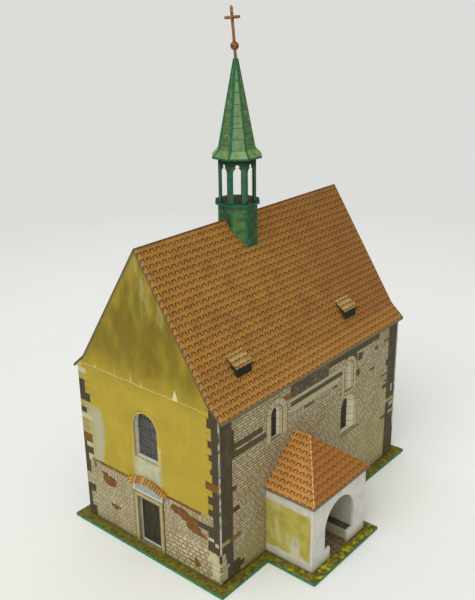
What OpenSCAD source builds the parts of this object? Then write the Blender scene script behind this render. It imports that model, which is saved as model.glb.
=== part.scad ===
// Card model of a small Romanesque church: a hollow nave of cut and folded card with a
// bell-cast tiled roof, shed dormers, an open ridge turret with a spire, and a south porch.
// Origin: centre of the nave's footprint on the underside of the base card.
// +X runs along the nave to the east, +Y to the north, +Z up. The porch is on the south side.

/* [Base card] */
// Thickness of the base card
base_t = 1.0; // [0.6:0.1:2]
// How far the base card reaches beyond the walls
base_margin = 3.5; // [1:0.1:8]

/* [Nave walls] */
// Length of the nave, outside the gables
nave_l = 100.4; // [84:0.1:130]
// Width of the nave, outside the long walls
nave_w = 60; // [48:0.1:76]
// Height of the long walls above the base card, at their outer face
wall_h = 56.8; // [54:0.1:70]
// Thickness of the wall card
wall_t = 0.8; // [0.5:0.1:1.2]

/* [Nave roof] */
// Slope of the main roof, in degrees
main_pitch = 56.7; // [45:0.1:62]
// Slope of the flatter strip along the eaves, in degrees
eave_pitch = 41.2; // [30:0.1:44]
// Distance from the wall face in to the change of slope
kink_in = 3.45; // [2:0.05:6]
// How far the eaves stand out from the long walls
eave_out = 1.6; // [0.5:0.1:4]
// How far the roof stands out from the gables
verge_out = 0.3; // [0:0.1:1.5]
// Vertical thickness of the roof card
roof_v = 0.9; // [0.5:0.1:1.5]

/* [Windows] */
// Thickness of the card strips that line windows and doors
liner_t = 0.4; // [0.3:0.1:0.6]
// Thickness of the printed panes and door leaves
pane_t = 0.5; // [0.3:0.1:0.8]
// How far panes and leaves reach past the opening in front of them
pane_lap = 0.8; // [0.5:0.1:1.2]
// Gable window: width of the opening
gable_win_w = 10.4; // [7:0.1:14]
// Gable window: height of its sill above the base card
gable_win_sill = 32; // [28:0.1:38]
// Gable window: height of the straight jambs
gable_win_jamb = 11.3; // [6:0.1:15]
// Gable window: distance from the wall face back to the pane
gable_win_depth = 2.2; // [1.6:0.1:4]
// Slit windows: width of the opening
slit_w = 5.6; // [4.4:0.1:7]
// Slit windows: height of the sill above the base card
slit_sill = 39; // [36:0.1:41]
// Slit windows: height of the straight jambs
slit_jamb = 8.4; // [5:0.1:9.5]
// Western slit window: distance from the wall face back to the pane
slit_west_depth = 1.5; // [1.3:0.1:3]
// Western slit window: how much each side narrows from the wall face to the pane
slit_west_splay = 1.3; // [0:0.1:1.8]
// Eastern slit window: distance from the wall face back to the pane
slit_east_depth = 2.4; // [1.3:0.1:3]
// Eastern slit window: how much each side narrows from the wall face to the pane
slit_east_splay = 1.7; // [0:0.1:1.8]
// Western slit window: distance from the west gable to its middle
slit_west_x = 27.3; // [20:0.1:34]
// Eastern slit window: distance from the west gable to its middle
slit_east_x = 67.9; // [60:0.1:76]
// Low window: width of the opening
low_win_w = 10.3; // [8:0.1:12]
// Low window: height of the sill above the base card
low_win_sill = 22.9; // [18:0.1:24]
// Low window: height of the straight jambs
low_win_jamb = 9.6; // [6:0.1:10.2]
// Low window: distance from the wall face back to the pane
low_win_depth = 2.5; // [1.6:0.1:4]
// Low window: how much each side narrows from the wall face to the pane
low_win_splay = 2.8; // [0:0.1:3.4]
// Low window: distance from the west gable to its middle
low_win_x = 68.6; // [62:0.1:76]

/* [West door] */
// Width of the doorway
door_w = 9.6; // [7:0.1:12]
// Height of the doorway's top above the base card
door_top = 17.5; // [15:0.1:18.5]
// Height of its threshold above the base card
door_sill = 0.6; // [0.5:0.1:1.5]
// Distance from the wall face back to the door leaf
door_depth = 1.5; // [1.3:0.1:4]
// Width of the flat surround beside the doorway
surround_w = 1.9; // [1.2:0.1:2.6]
// Thickness of the surround
surround_t = 0.3; // [0.2:0.1:0.6]
// Thickness of the pediment above it
pediment_t = 0.4; // [0.2:0.1:0.8]
// Height of the upright ends of the pediment
pediment_end = 2.2; // [1.4:0.1:3]
// Half width of the tiled hood over the pediment
hood_half_w = 8.7; // [7.6:0.1:10]
// Rise of the hood's curve
hood_rise = 2.5; // [2:0.1:4]
// Width of the tiled band of the hood
hood_band = 2.4; // [1.6:0.1:3]
// How far the hood stands out from the gable
hood_t = 0.9; // [0.5:0.1:1.5]
// Gap between the hood and the pediment under it
hood_gap = 0.05; // [0:0.05:0.2]

/* [Dormers] */
// Width of each dormer's box
dormer_w = 6.8; // [4:0.1:9]
// Height of the dormer's front
dormer_h = 3.4; // [2:0.1:4.5]
// Slope of the dormer's roof, in degrees
dormer_pitch = 34.4; // [20:0.1:40]
// Distance from the wall face in to the dormer's front
dormer_in = 4.8; // [4.8:0.05:10]
// Thickness of the dormer's sides and front
dormer_t = 0.3; // [0.2:0.05:0.5]
// Vertical thickness of the dormer's roof
dormer_roof_v = 0.4; // [0.2:0.05:0.7]
// How far the dormer's roof stands out beside the box
dormer_side_out = 0.6; // [0:0.05:0.9]
// How far the dormer's roof stands out in front
dormer_front_out = 0.35; // [0:0.05:0.8]
// Western dormers: distance from the west gable to the middle
dormer_west_x = 17.8; // [12:0.1:30]
// Eastern dormers: distance from the west gable to the middle
dormer_east_x = 74.7; // [62:0.1:90]

/* [Turret] */
// Distance from the west gable to the turret's axis
turret_x = 45.3; // [30:0.1:70]
// Distance from the axis to the flat sides of the drum
drum_a = 6.1; // [5:0.1:8]
// Height of the drum's top above the ridge
drum_h = 4.3; // [3:0.1:10]
// Twist of the hand-set lantern and spire against the drum, in degrees
upper_turn = -4; // [-6:0.1:6]
// Thickness of the turret's card
turret_t = 0.4; // [0.3:0.05:0.6]
// How far the gallery plate stands out from the drum
gallery_out = 0.9; // [0.4:0.1:2]
// Thickness of the gallery plate
gallery_t = 0.7; // [0.4:0.1:1.2]
// How much smaller than the drum the lantern is, at each side
lantern_in = 0.2; // [0:0.05:0.6]
// Height of the lantern
lantern_h = 13.8; // [10:0.1:20]
// Width of the lantern's openings
bay_w = 2.6; // [1.8:0.1:3]
// Height of the openings' straight sides
bay_jamb = 9.8; // [6:0.1:10]
// Width of the neck under each opening's round head
bay_neck = 0.84; // [0.5:0.02:1]
// Radius of the round head
bay_head_r = 0.62; // [0.5:0.02:0.8]
// Height of the shoulders between the straight sides and the neck
bay_shoulder = 1.3; // [0.8:0.1:2]
// How far the spire's skirt stands out from the lantern
skirt_out = 1.8; // [0.6:0.1:3]
// Thickness of the plate that closes the lantern's top
ceiling_t = 0.6; // [0.3:0.1:1]
// Height of the flared skirt
skirt_h = 2.0; // [1:0.1:4]
// Height of the spire above its skirt
spire_h = 26.8; // [18:0.1:40]
// Distance from the axis to the flat sides at the spire's tip
tip_a = 0.8; // [0.7:0.05:1.4]

/* [Finial] */
// Radius of the wire
wire_r = 0.45; // [0.3:0.05:0.5]
// Clearance around the wire where it enters the spire's tip
wire_gap = 0.12; // [0.08:0.02:0.16]
// How deep the wire stands in the tip
wire_seat = 1.0; // [0.5:0.1:1.5]
// Length of wire between the tip and the ball
stem_h = 2.4; // [1:0.1:4]
// Radius of the ball
ball_r = 1.3; // [0.9:0.05:2]
// Half height of the ball between its flat ends
ball_half_h = 1.17; // [0.8:0.01:1.2]
// Height of the cross above the ball
cross_h = 10.2; // [6:0.1:14]
// Height of the bar above the ball
cross_bar_z = 6.9; // [4:0.1:9]
// Length of the bar
cross_bar_l = 4.9; // [3:0.1:7]
// Direction of the bar in plan, from +X, in degrees
cross_bar_az = 118; // [90:1:180]
// Lean of the hand-set wire, in degrees
finial_lean = 4.3; // [0:0.1:5]
// Direction it leans towards, from +X, in degrees
finial_lean_az = 130; // [0:1:360]

/* [Porch] */
// Distance from the west gable to the porch's west wall
porch_x = 22; // [12:0.1:34]
// Width of the porch
porch_w = 29.5; // [24:0.1:36]
// Depth of the porch, out from the nave wall
porch_d = 17.9; // [14:0.1:24]
// Height of the porch's walls above the base card
porch_h = 24.3; // [22:0.1:28]
// Slope of the porch roof's two sides, in degrees
porch_pitch = 40.7; // [30:0.1:43]
// Length of the porch roof's ridge
porch_ridge_l = 5.9; // [3:0.1:10]
// How far the porch's eaves stand out from its walls
porch_eave_out = 0.96; // [0.4:0.02:2]
// Vertical thickness of the porch's roof card
porch_roof_v = 0.8; // [0.4:0.1:1.2]
// Width of the archway and of the vault behind it
arch_w = 16.2; // [12:0.1:17]
// Height of the archway's springing above the base card
arch_spring = 11.8; // [9:0.1:13]
// Thickness of the vault's lining
vault_t = 0.5; // [0.3:0.1:0.8]
// Width of each bench along the vault's sides
bench_w = 3.0; // [2:0.1:4]
// Height of the benches
bench_h = 4.4; // [3:0.1:6]
// Thickness of the benches' card
bench_t = 0.4; // [0.3:0.1:0.8]
// Thickness of the porch's floor card
floor_t = 0.3; // [0.2:0.1:0.6]
// Gap between each bench and the door leaf inside the porch
porch_door_gap = 0.8; // [0.3:0.1:1.5]
// Height of its straight sides
porch_door_jamb = 10.6; // [8:0.1:11]
// Thickness of the door leaf
porch_door_t = 0.3; // [0.2:0.1:0.6]

/* [Hidden] */
$fn = 64;
// Overlap of a cutting shape past the surface that it cuts
cut = 0.5;
// Bends of the shoulders of the lantern's openings, as shares of the shoulder's size
ogee_upper = 0.125;
ogee_lower = 0.2;
oct = 8;
half_turn = 180;
quarter_turn = 90;
oct_half = half_turn / oct;
west_x = -nave_l / 2;
east_x = nave_l / 2;
side_y = nave_w / 2;
main_m = tan(main_pitch);
eave_m = tan(eave_pitch);
kink_y = side_y - kink_in;
eave_y = side_y + eave_out;
roof_at_wall = base_t + wall_h + roof_v;
kink_z = roof_at_wall + kink_in * eave_m;
eave_z = roof_at_wall - eave_out * eave_m;
ridge_z = kink_z + kink_y * main_m;
hood_r = (hood_half_w * hood_half_w + hood_rise * hood_rise) / (2 * hood_rise);
door_frame_w = door_w + 2 * surround_w;
pediment_z = base_t + door_top + surround_w;
hood_c = pediment_z + pediment_end
    - sqrt(pow(hood_r - hood_band - hood_gap, 2) - pow(door_frame_w / 2, 2));
hood_half_a = asin(hood_half_w / hood_r);
dormer_m = tan(dormer_pitch);
dormer_y = side_y - dormer_in;
dormer_run = dormer_h / (main_m - dormer_m);
dormer_run_under = (dormer_h - dormer_roof_v) / (main_m - dormer_m);
turret_cx = west_x + turret_x;
drum_top = ridge_z + drum_h;
drum_skirt = (drum_a / cos(oct_half)) * main_m;
gallery_top = drum_top + gallery_t;
lantern_a = drum_a - lantern_in;
lantern_top = gallery_top + lantern_h;
skirt_a = lantern_a + skirt_out;
skirt_z = lantern_top + ceiling_t;
spire_z = skirt_z + skirt_h;
tip_z = spire_z + spire_h;
seat_r = wire_r + wire_gap;
ball_z = tip_z + stem_h + ball_half_h;
cross_z = ball_z + ball_half_h;
porch_x0 = west_x + porch_x;
porch_cx = porch_x0 + porch_w / 2;
porch_y0 = -side_y - porch_d;
porch_m = tan(porch_pitch);
porch_half = porch_w / 2 + porch_eave_out;
porch_eave_z = base_t + porch_h + porch_roof_v - porch_eave_out * porch_m;
porch_rise = porch_half * porch_m;
slot_w = arch_w - 2 * bench_w;
porch_door_w = slot_w - 2 * porch_door_gap;

// Outline of the nave roof's top surface on one side, from the eave to the ridge
function roof_side(side, drop) = [
    [side * eave_y, eave_z - drop],
    [side * kink_y, kink_z - drop],
    [0, ridge_z - drop]
];
function roof_z(y) = ridge_z - abs(y) * main_m;

// Upright slab whose outline is drawn in the YZ plane, from x to x + t
module yz_slab(x, t) {
    translate([x, 0, 0])
        rotate([quarter_turn, 0, quarter_turn])
            linear_extrude(t) children();
}

// Upright slab whose outline is drawn in the XZ plane, from y to y + t
module xz_slab(y, t) {
    translate([0, y + t, 0])
        rotate([quarter_turn, 0, 0])
            linear_extrude(t) children();
}

module octagon_prism(a, h) {
    rotate([0, 0, oct_half]) cylinder(r = a / cos(oct_half), h = h, $fn = oct);
}

module octagon_frustum(a_low, a_high, h) {
    rotate([0, 0, oct_half])
        cylinder(r1 = a_low / cos(oct_half), r2 = a_high / cos(oct_half), h = h, $fn = oct);
}

// Arched shape with its sill at z = 0, open along +Y from y = 0; each side moves in by
// splay over the depth
module arched_void(w, jamb, depth, splay) {
    run = depth + 2 * cut;
    grow = splay * cut / depth;
    wide = w / 2 + grow;
    narrow = w / 2 - splay - grow;
    translate([0, -cut, jamb])
        rotate([-quarter_turn, 0, 0])
            cylinder(r1 = wide, r2 = narrow, h = run);
    linear_extrude(jamb)
        polygon([[-wide, -cut], [wide, -cut], [narrow, run - cut], [-narrow, run - cut]]);
}

// The same shape grown outwards, from y0 to y1 along the same tapering sides
module arched_shell(w, jamb, depth, splay, y0, y1, grow) {
    w0 = w / 2 - splay * y0 / depth + grow;
    w1 = w / 2 - splay * y1 / depth + grow;
    translate([0, y0, jamb])
        rotate([-quarter_turn, 0, 0])
            cylinder(r1 = w0, r2 = w1, h = y1 - y0);
    translate([0, 0, -grow])
        linear_extrude(jamb + grow)
            polygon([[-w0, y0], [w0, y0], [w1, y1], [-w1, y1]]);
}

module window_reveal(w, jamb, depth, splay) {
    difference() {
        arched_shell(w, jamb, depth, splay, wall_t, depth, liner_t);
        arched_void(w, jamb, depth, splay);
    }
}

module window_pane(w, jamb, depth, splay) {
    back_w = w - 2 * splay + 2 * pane_lap;
    xz_slab(depth, pane_t) union() {
        translate([0, jamb]) circle(d = back_w);
        translate([-back_w / 2, -pane_lap]) square([back_w, jamb + pane_lap]);
    }
}

// Places a south-facing opening's parts at a distance along the nave and a sill height
module on_south(x, sill) {
    translate([west_x + x, -side_y, base_t + sill]) children();
}

module on_north(x, sill) {
    mirror([0, 1, 0]) on_south(x, sill) children();
}

module on_west(sill) {
    translate([west_x, 0, base_t + sill]) rotate([0, 0, -quarter_turn]) children();
}

module on_east(sill) {
    mirror([1, 0, 0]) on_west(sill) children();
}

module west_slit_void() {
    arched_void(slit_w, slit_jamb, slit_west_depth, slit_west_splay);
}

module east_slit_void() {
    arched_void(slit_w, slit_jamb, slit_east_depth, slit_east_splay);
}

module west_slit_reveal() {
    window_reveal(slit_w, slit_jamb, slit_west_depth, slit_west_splay);
}

module east_slit_reveal() {
    window_reveal(slit_w, slit_jamb, slit_east_depth, slit_east_splay);
}

module west_slit_pane() {
    window_pane(slit_w, slit_jamb, slit_west_depth, slit_west_splay);
}

module east_slit_pane() {
    window_pane(slit_w, slit_jamb, slit_east_depth, slit_east_splay);
}

module base_card() {
    color("olivedrab") linear_extrude(base_t) union() {
        translate([west_x - base_margin, -side_y - base_margin])
            square([nave_l + 2 * base_margin, nave_w + 2 * base_margin]);
        translate([porch_x0 - base_margin, porch_y0 - base_margin])
            square([porch_w + 2 * base_margin, porch_d + base_margin]);
    }
}

module gable_outline() {
    polygon(concat(
        [[side_y, base_t], [side_y, base_t + wall_h]],
        [[kink_y, kink_z - roof_v], [0, ridge_z - roof_v], [-kink_y, kink_z - roof_v]],
        [[-side_y, base_t + wall_h], [-side_y, base_t]]
    ));
}

module gable_window_void() {
    arched_void(gable_win_w, gable_win_jamb, gable_win_depth, 0);
}

module west_gable_wall() {
    color("goldenrod") difference() {
        yz_slab(west_x, wall_t) gable_outline();
        on_west(gable_win_sill) gable_window_void();
        translate([west_x - cut, -door_w / 2, base_t + door_sill])
            cube([wall_t + 2 * cut, door_w, door_top - door_sill]);
    }
}

module east_gable_wall() {
    color("goldenrod") difference() {
        yz_slab(east_x - wall_t, wall_t) gable_outline();
        on_east(gable_win_sill) gable_window_void();
    }
}

// Long wall on the south side, cut off along the underside of the roof
module long_wall() {
    inner_y = side_y - wall_t;
    yz_slab(west_x + wall_t, nave_l - 2 * wall_t) polygon([
        [-side_y, base_t],
        [-inner_y, base_t],
        [-inner_y, base_t + wall_h + wall_t * eave_m],
        [-side_y, base_t + wall_h]
    ]);
}

module south_wall() {
    color("darkkhaki") difference() {
        long_wall();
        on_south(slit_west_x, slit_sill) west_slit_void();
        on_south(slit_east_x, slit_sill) east_slit_void();
        on_south(low_win_x, low_win_sill)
            arched_void(low_win_w, low_win_jamb, low_win_depth, low_win_splay);
    }
}

module north_wall() {
    color("darkkhaki") difference() {
        mirror([0, 1, 0]) long_wall();
        on_north(slit_west_x, slit_sill) west_slit_void();
        on_north(slit_east_x, slit_sill) east_slit_void();
    }
}

module nave_roof_slope(side) {
    over = nave_l + 2 * verge_out;
    color("peru") yz_slab(-over / 2, over)
        polygon(concat(
            roof_side(side, 0),
            [for (i = [2:-1:0]) roof_side(side, roof_v)[i]]
        ));
}

module nave_roof_south() {
    nave_roof_slope(-1);
}

module nave_roof_north() {
    nave_roof_slope(1);
}

module west_window_reveal() {
    color("ivory") on_west(gable_win_sill)
        window_reveal(gable_win_w, gable_win_jamb, gable_win_depth, 0);
}

module west_window_pane() {
    color("dimgray") on_west(gable_win_sill)
        window_pane(gable_win_w, gable_win_jamb, gable_win_depth, 0);
}

module east_window_reveal() {
    color("ivory") on_east(gable_win_sill)
        window_reveal(gable_win_w, gable_win_jamb, gable_win_depth, 0);
}

module east_window_pane() {
    color("dimgray") on_east(gable_win_sill)
        window_pane(gable_win_w, gable_win_jamb, gable_win_depth, 0);
}

module south_west_slit_reveal() {
    color("ivory") on_south(slit_west_x, slit_sill) west_slit_reveal();
}

module south_east_slit_reveal() {
    color("ivory") on_south(slit_east_x, slit_sill) east_slit_reveal();
}

module south_low_window_reveal() {
    color("ivory") on_south(low_win_x, low_win_sill)
        window_reveal(low_win_w, low_win_jamb, low_win_depth, low_win_splay);
}

module south_window_panes() {
    color("dimgray") {
        on_south(slit_west_x, slit_sill) west_slit_pane();
        on_south(slit_east_x, slit_sill) east_slit_pane();
        on_south(low_win_x, low_win_sill)
            window_pane(low_win_w, low_win_jamb, low_win_depth, low_win_splay);
    }
}

module north_west_slit_reveal() {
    color("ivory") on_north(slit_west_x, slit_sill) west_slit_reveal();
}

module north_east_slit_reveal() {
    color("ivory") on_north(slit_east_x, slit_sill) east_slit_reveal();
}

module north_window_panes() {
    color("dimgray") {
        on_north(slit_west_x, slit_sill) west_slit_pane();
        on_north(slit_east_x, slit_sill) east_slit_pane();
    }
}

module west_door_surround() {
    color("tan") yz_slab(west_x - surround_t, surround_t) difference() {
        translate([-door_frame_w / 2, base_t])
            square([door_frame_w, door_top + surround_w]);
        translate([-door_w / 2, base_t + door_sill])
            square([door_w, door_top - door_sill]);
    }
}

module west_door_pediment() {
    color("lightslategray") yz_slab(west_x - pediment_t, pediment_t) intersection() {
        translate([-door_frame_w / 2, pediment_z])
            square([door_frame_w, hood_r]);
        translate([0, hood_c]) circle(r = hood_r - hood_band - hood_gap);
    }
}

// Curved band of tiles: a ring sector above the pediment
module west_door_hood() {
    reach = 2 * hood_r;
    color("peru") yz_slab(west_x - hood_t, hood_t) intersection() {
        translate([0, hood_c]) difference() {
            circle(r = hood_r);
            circle(r = hood_r - hood_band);
        }
        translate([0, hood_c]) polygon([
            [0, 0],
            [reach * sin(hood_half_a), reach * cos(hood_half_a)],
            [-reach * sin(hood_half_a), reach * cos(hood_half_a)]
        ]);
    }
}

module west_door_reveal() {
    lined_w = door_w + 2 * liner_t;
    lined_h = door_top - door_sill + 2 * liner_t;
    color("ivory") yz_slab(west_x + wall_t, door_depth - wall_t) difference() {
        translate([-lined_w / 2, base_t + door_sill - liner_t]) square([lined_w, lined_h]);
        translate([-door_w / 2, base_t + door_sill]) square([door_w, door_top - door_sill]);
    }
}

module west_door_leaf() {
    leaf_w = door_w + 2 * pane_lap;
    color("darkslategray") yz_slab(west_x + door_depth, pane_t)
        translate([-leaf_w / 2, base_t]) square([leaf_w, door_top + pane_lap]);
}

// Folded card box on the south slope: two cheeks, a front and a flatter roof
module dormer(x) {
    top_under = dormer_h - dormer_roof_v;
    drop = dormer_run * main_m;
    translate([west_x + x, -dormer_y, roof_z(dormer_y)])
        color("saddlebrown") union() {
            yz_slab(-dormer_w / 2 - dormer_side_out, dormer_w + 2 * dormer_side_out) polygon([
                [-dormer_front_out, dormer_h - dormer_front_out * dormer_m],
                [dormer_run, dormer_h + dormer_run * dormer_m],
                [dormer_run_under, dormer_run_under * main_m],
                [-dormer_front_out, top_under - dormer_front_out * dormer_m]
            ]);
            difference() {
                yz_slab(-dormer_w / 2, dormer_w)
                    polygon([
                        [0, 0],
                        [0, top_under],
                        [dormer_run_under, dormer_run_under * main_m]
                    ]);
                yz_slab(-dormer_w / 2 + dormer_t, dormer_w - 2 * dormer_t) polygon([
                    [dormer_t, -drop],
                    [dormer_t, top_under + dormer_t * dormer_m],
                    [dormer_run_under, dormer_run_under * main_m],
                    [dormer_run_under, -drop]
                ]);
            }
        }
}

module dormer_south_west() {
    dormer(dormer_west_x);
}

module dormer_south_east() {
    dormer(dormer_east_x);
}

module dormer_north_west() {
    mirror([0, 1, 0]) dormer(dormer_west_x);
}

module dormer_north_east() {
    mirror([0, 1, 0]) dormer(dormer_east_x);
}

// Octagonal tube that straddles the ridge
module turret_drum() {
    tall = drum_h + drum_skirt;
    color("seagreen") difference() {
        translate([turret_cx, 0, drum_top - tall]) difference() {
            octagon_prism(drum_a, tall);
            translate([0, 0, -cut]) octagon_prism(drum_a - turret_t, tall + 2 * cut);
        }
        yz_slab(turret_cx - 2 * drum_a, 4 * drum_a) polygon([
            [0, ridge_z],
            [2 * drum_a, roof_z(2 * drum_a)],
            [2 * drum_a, ridge_z - 2 * drum_skirt - cut],
            [-2 * drum_a, ridge_z - 2 * drum_skirt - cut],
            [-2 * drum_a, roof_z(2 * drum_a)]
        ]);
    }
}

// Places the turret's upper parts at a height, with their small twist
module upper(z) {
    translate([turret_cx, 0, z]) rotate([0, 0, upper_turn]) children();
}

module turret_gallery() {
    color("seagreen") upper(drum_top) octagon_prism(drum_a + gallery_out, gallery_t);
}

// Outline of one lantern opening, with its foot at y = 0
module bay_outline() {
    neck_y = bay_jamb + bay_shoulder;
    head_y = neck_y + sqrt(pow(bay_head_r, 2) - pow(bay_neck / 2, 2));
    middle_y = bay_jamb + bay_shoulder / 2;
    bend_y = neck_y - bay_shoulder * ogee_lower;
    slope_x = bay_w / 2 - (bay_w - bay_neck) * ogee_upper;
    bend_x = bay_neck / 2 + (bay_w - bay_neck) * ogee_lower;
    polygon([
        [-bay_w / 2, 0],
        [bay_w / 2, 0],
        [bay_w / 2, bay_jamb],
        [slope_x, middle_y],
        [bend_x, bend_y],
        [bay_neck / 2, neck_y],
        [bay_neck / 2, head_y],
        [-bay_neck / 2, head_y],
        [-bay_neck / 2, neck_y],
        [-bend_x, bend_y],
        [-slope_x, middle_y],
        [-bay_w / 2, bay_jamb]
    ]);
    translate([0, head_y]) circle(r = bay_head_r);
}

module turret_lantern() {
    color("darkseagreen") upper(gallery_top) difference() {
        octagon_prism(lantern_a, lantern_h);
        translate([0, 0, -cut]) octagon_prism(lantern_a - turret_t, lantern_h + 2 * cut);
        for (i = [0:oct / 2 - 1])
            rotate([0, 0, i * 2 * oct_half])
                yz_slab(-2 * lantern_a, 4 * lantern_a) bay_outline();
    }
}

module lantern_ceiling() {
    color("seagreen") upper(lantern_top) octagon_prism(skirt_a, ceiling_t);
}

module spire_skirt() {
    color("mediumseagreen") upper(skirt_z) difference() {
        octagon_frustum(skirt_a, lantern_a, skirt_h);
        octagon_frustum(skirt_a - 2 * turret_t, lantern_a - turret_t, skirt_h);
    }
}

module spire() {
    color("mediumseagreen") upper(0) difference() {
        translate([0, 0, spire_z]) octagon_frustum(lantern_a, tip_a, spire_h);
        translate([0, 0, spire_z])
            octagon_frustum(lantern_a - turret_t, tip_a - turret_t, spire_h);
        translate([0, 0, tip_z - 2 * wire_seat]) cylinder(r = seat_r, h = 2 * wire_seat + cut);
    }
}

// The wire, ball and cross lean together about the spire's tip
module leaning() {
    translate([turret_cx, 0, tip_z])
        rotate(a = finial_lean, v = [-sin(finial_lean_az), cos(finial_lean_az), 0])
            translate([0, 0, -tip_z]) children();
}

module finial_stem() {
    color("sienna") leaning() translate([0, 0, tip_z - wire_seat])
        cylinder(r = wire_r, h = wire_seat + stem_h);
}

module finial_ball() {
    color("chocolate") leaning() translate([0, 0, ball_z]) intersection() {
        sphere(r = ball_r);
        cube([2 * ball_r, 2 * ball_r, 2 * ball_half_h], center = true);
    }
}

module finial_cross() {
    color("sienna") leaning() translate([0, 0, cross_z]) union() {
        cylinder(r = wire_r, h = cross_h - wire_r);
        translate([0, 0, cross_h - wire_r]) sphere(r = wire_r);
        translate([0, 0, cross_bar_z]) rotate([0, quarter_turn, cross_bar_az]) {
            cylinder(r = wire_r, h = cross_bar_l - 2 * wire_r, center = true);
            for (end = [-1, 1])
                translate([0, 0, end * (cross_bar_l / 2 - wire_r)]) sphere(r = wire_r);
        }
    }
}

// Archway outline, grown by a margin all round
module arch_outline(grow) {
    translate([-arch_w / 2 - grow, 0]) square([arch_w + 2 * grow, arch_spring]);
    translate([0, arch_spring]) circle(r = arch_w / 2 + grow);
}

module porch_front_wall() {
    color("gainsboro") translate([porch_cx, 0, base_t]) xz_slab(porch_y0, wall_t)
        difference() {
            translate([-porch_w / 2, 0]) square([porch_w, porch_h]);
            intersection() {
                arch_outline(0);
                translate([-arch_w / 2, bench_h]) square([arch_w, porch_h]);
            }
            translate([-slot_w / 2, -cut]) square([slot_w, bench_h + 2 * cut]);
        }
}

module porch_side_wall(x) {
    translate([x, porch_y0 + wall_t, base_t]) cube([wall_t, porch_d - wall_t, porch_h]);
}

module porch_west_wall() {
    color("khaki") porch_side_wall(porch_x0);
}

module porch_east_wall() {
    color("khaki") porch_side_wall(porch_x0 + porch_w - wall_t);
}

// Lining of the passage: upright sides and a barrel vault
module porch_vault() {
    color("silver") translate([porch_cx, 0, base_t])
        xz_slab(porch_y0 + wall_t, porch_d - wall_t) difference() {
            intersection() {
                arch_outline(vault_t);
                translate([-arch_w, 0]) square([2 * arch_w, porch_h]);
            }
            arch_outline(0);
        }
}

// Bench along the west side of the passage: a seat and a front, folded from card
module porch_bench() {
    bench_l = porch_d - wall_t;
    translate([-arch_w / 2, porch_y0 + wall_t, base_t]) union() {
        translate([0, 0, bench_h - bench_t]) cube([bench_w, bench_l, bench_t]);
        translate([bench_w - bench_t, 0, 0]) cube([bench_t, bench_l, bench_h]);
    }
}

module porch_bench_west() {
    color("dimgray") translate([porch_cx, 0, 0]) porch_bench();
}

module porch_bench_east() {
    color("dimgray") translate([porch_cx, 0, 0]) mirror([1, 0, 0]) porch_bench();
}

module porch_floor() {
    color("rosybrown") translate([porch_cx - slot_w / 2, porch_y0, base_t])
        cube([slot_w, porch_d, floor_t]);
}

// Everything under the hipped roof's surfaces and above the eaves' undersides
module hipped_mass() {
    low = porch_eave_z - porch_roof_v;
    top = porch_eave_z + porch_rise;
    intersection() {
        translate([porch_cx, 0, 0])
            xz_slab(porch_y0 - porch_eave_out, porch_d + porch_eave_out)
                polygon([
                    [-porch_half, low],
                    [porch_half, low],
                    [porch_half, porch_eave_z],
                    [0, top],
                    [-porch_half, porch_eave_z]
                ]);
        yz_slab(porch_cx - porch_half, 2 * porch_half) polygon([
            [porch_y0 - porch_eave_out, low],
            [-side_y, low],
            [-side_y, top],
            [-side_y - porch_ridge_l, top],
            [porch_y0 - porch_eave_out, porch_eave_z]
        ]);
    }
}

module porch_roof() {
    color("chocolate") difference() {
        hipped_mass();
        translate([0, 0, -porch_roof_v]) hipped_mass();
    }
}

module porch_door() {
    color("saddlebrown") translate([porch_cx, 0, base_t + floor_t])
        xz_slab(-side_y - porch_door_t, porch_door_t) union() {
            translate([-porch_door_w / 2, 0]) square([porch_door_w, porch_door_jamb]);
            translate([0, porch_door_jamb]) circle(d = porch_door_w);
        }
}

base_card();
west_gable_wall();
east_gable_wall();
south_wall();
north_wall();
nave_roof_south();
nave_roof_north();
west_window_reveal();
west_window_pane();
east_window_reveal();
east_window_pane();
south_west_slit_reveal();
south_east_slit_reveal();
south_low_window_reveal();
south_window_panes();
north_west_slit_reveal();
north_east_slit_reveal();
north_window_panes();
west_door_surround();
west_door_pediment();
west_door_hood();
west_door_reveal();
west_door_leaf();
dormer_south_west();
dormer_south_east();
dormer_north_west();
dormer_north_east();
turret_drum();
turret_gallery();
turret_lantern();
lantern_ceiling();
spire_skirt();
spire();
finial_stem();
finial_ball();
finial_cross();
porch_front_wall();
porch_west_wall();
porch_east_wall();
porch_vault();
porch_bench_west();
porch_bench_east();
porch_floor();
porch_roof();
porch_door();
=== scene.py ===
"""Looks of the card model church: printed card materials, studio light and the photograph's view."""
import math

import bpy
from mathutils import Matrix, Vector


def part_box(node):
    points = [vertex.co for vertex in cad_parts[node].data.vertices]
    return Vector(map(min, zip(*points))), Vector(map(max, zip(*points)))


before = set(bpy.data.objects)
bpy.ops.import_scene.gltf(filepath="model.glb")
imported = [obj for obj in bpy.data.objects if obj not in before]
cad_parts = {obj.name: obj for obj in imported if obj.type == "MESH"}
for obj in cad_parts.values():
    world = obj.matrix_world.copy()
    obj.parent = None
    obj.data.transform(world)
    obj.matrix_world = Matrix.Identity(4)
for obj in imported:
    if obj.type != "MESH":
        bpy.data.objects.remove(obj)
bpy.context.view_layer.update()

# Everything below that is a length on the model is in millimetres of the row frame.
MM = 1000.0


def span(node):
    """Lowest and highest corner of a CAD node, in millimetres."""
    low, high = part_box(node)
    return low * MM, high * MM


def levels(node, axis):
    """The distinct coordinates of a node's corners along one axis, in millimetres, in order."""
    return sorted({round(vertex.co[axis] * MM, 2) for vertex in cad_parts[node].data.vertices})


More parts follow.
